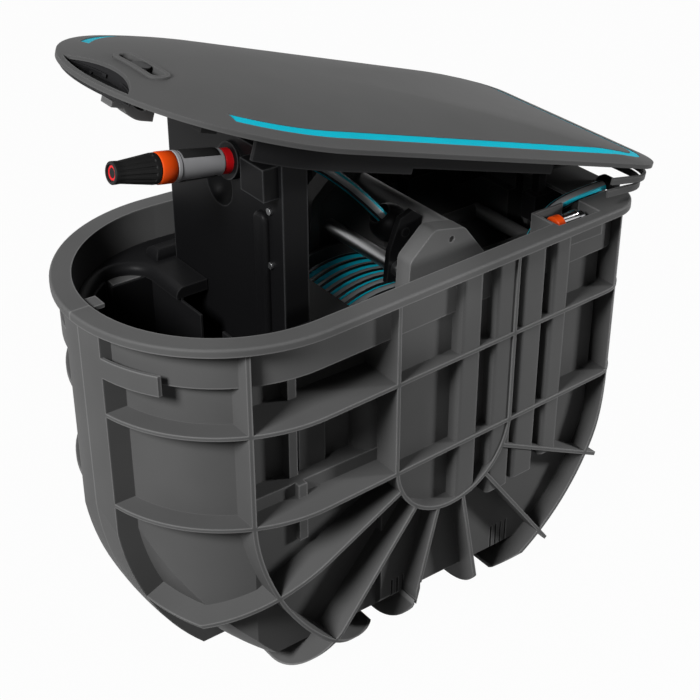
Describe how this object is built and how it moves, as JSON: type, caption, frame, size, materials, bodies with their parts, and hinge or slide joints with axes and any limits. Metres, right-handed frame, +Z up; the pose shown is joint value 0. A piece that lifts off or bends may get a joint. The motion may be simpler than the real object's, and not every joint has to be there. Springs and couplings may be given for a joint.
{
  "type": "in-ground hose box",
  "caption": "Ribbed plastic tub sunk in the ground, with a hinged lid, a hose reel inside and a panel that lifts the spray nozzle when the lid opens.",
  "frame": {"origin": "on the tub's flat base, straight under the reel axle, on the seam plane between the tub halves", "axes": "+Z up, +X towards the lid's turning end, +Y along the reel axle"},
  "size_m": [0.7447, 0.402, 0.775],
  "materials": {
    "tub_plastic": "fine moulded grain",
    "lid_plastic": "fine moulded grain",
    "dark_plastic": "fine moulded grain",
    "teal_plastic": "smooth",
    "grey_plastic": "satin",
    "orange_plastic": "satin",
    "red_plastic": "satin",
    "hose": "grey with teal stripes",
    "steel": "plated",
    "silver": "satin"
  },
  "bodies": {
    "tub": {"tub_half_near": "tub_plastic", "tub_half_far": "tub_plastic", "seam_bolts": "steel", "seam_nuts": "steel", "tray": "tub_plastic", "latch_keeper": "tub_plastic", "hose_duct": "tub_plastic", "tap_connector": "silver", "tap_ring": "orange_plastic", "reel_frame_near": "dark_plastic", "reel_frame_far": "dark_plastic", "carry_tube": "dark_plastic", "guide_bar": "dark_plastic", "hose_guide": "dark_plastic", "guide_bracket": "dark_plastic", "rear_handle": "dark_plastic", "axle": "steel", "spring_case": "dark_plastic", "inlet_elbow": "dark_plastic", "supply_hose": "hose", "arm_guides": "tub_plastic"},
    "drum": {"drum_barrel": "dark_plastic", "drum_flange_near": "dark_plastic", "drum_flange_far": "dark_plastic", "hose_pack": "hose", "wound_hose": "hose"},
    "panel": {"lift_panel": "dark_plastic", "panel_screws": "steel", "nozzle_holder": "dark_plastic", "hose_connector": "red_plastic", "nozzle_body": "grey_plastic", "nozzle_grip": "dark_plastic", "hose_lead": "hose"},
    "spray_head": {"nozzle_ring": "orange_plastic", "nozzle_head": "dark_plastic", "nozzle_jet": "red_plastic"},
    "lid": {"lid_shell": "lid_plastic", "lid_liner": "dark_plastic", "lid_stripe": "teal_plastic", "lock_bezel": "lid_plastic", "latch_pin": "steel", "latch_cheeks": "dark_plastic", "lid_bumpers": "dark_plastic", "lid_arms": "tub_plastic"},
    "slider": {"lock_slider": "lid_plastic"},
    "hook": {"latch_hook": "dark_plastic"},
    "louvre_upper": {"lamella_upper": "tub_plastic"},
    "louvre_lower": {"lamella_lower": "tub_plastic"}
  },
  "joints": [
    {"name": "lid_hinge", "type": "hinge", "parent": "tub", "child": "lid", "pos_m": [0.41, 0, 0.5225], "axis": [0, 1, 0], "range_deg": [-18, 0]},
    {"name": "panel_lift", "type": "slide", "parent": "tub", "child": "panel", "axis": [0, 0, 1], "range_m": [-0.205, 0], "deforming": ["hose_lead"]},
    {"name": "nozzle_twist", "type": "hinge", "parent": "panel", "child": "spray_head", "pos_m": [-0.202, -0.021, 0.643], "axis": [-0.986, 0, 0.1668], "range_deg": [-150, 150]},
    {"name": "drum_spin", "type": "hinge", "parent": "tub", "child": "drum", "pos_m": [0, 0, 0.273], "axis": [0, 1, 0], "continuous": true, "deforming": ["hose_lead"]},
    {"name": "louvre_upper_turn", "type": "hinge", "parent": "tub", "child": "louvre_upper", "pos_m": [0.41, 0, 0.5225], "axis": [0, 1, 0], "range_deg": [-12, 0]},
    {"name": "louvre_lower_turn", "type": "hinge", "parent": "tub", "child": "louvre_lower", "pos_m": [0.41, 0, 0.5225], "axis": [0, 1, 0], "range_deg": [-6, 0]},
    {"name": "lock_slide", "type": "slide", "parent": "lid", "child": "slider", "axis": [0, 1, 0], "range_m": [0, 0.01]},
    {"name": "hook_swing", "type": "hinge", "parent": "lid", "child": "hook", "pos_m": [-0.31243, 0.012, 0.7504], "axis": [0, 1, 0], "range_deg": [0, 12]}
  ],
  "couplings": [
    {"joint": "panel_lift", "follows": "lid_hinge", "m_per_rad": 0.6525},
    {"joint": "louvre_upper_turn", "follows": "lid_hinge", "ratio": 0.6666},
    {"joint": "louvre_lower_turn", "follows": "lid_hinge", "ratio": 0.3333},
    {"joint": "hook_swing", "follows": "lock_slide", "rad_per_m": 20.94}
  ]
}
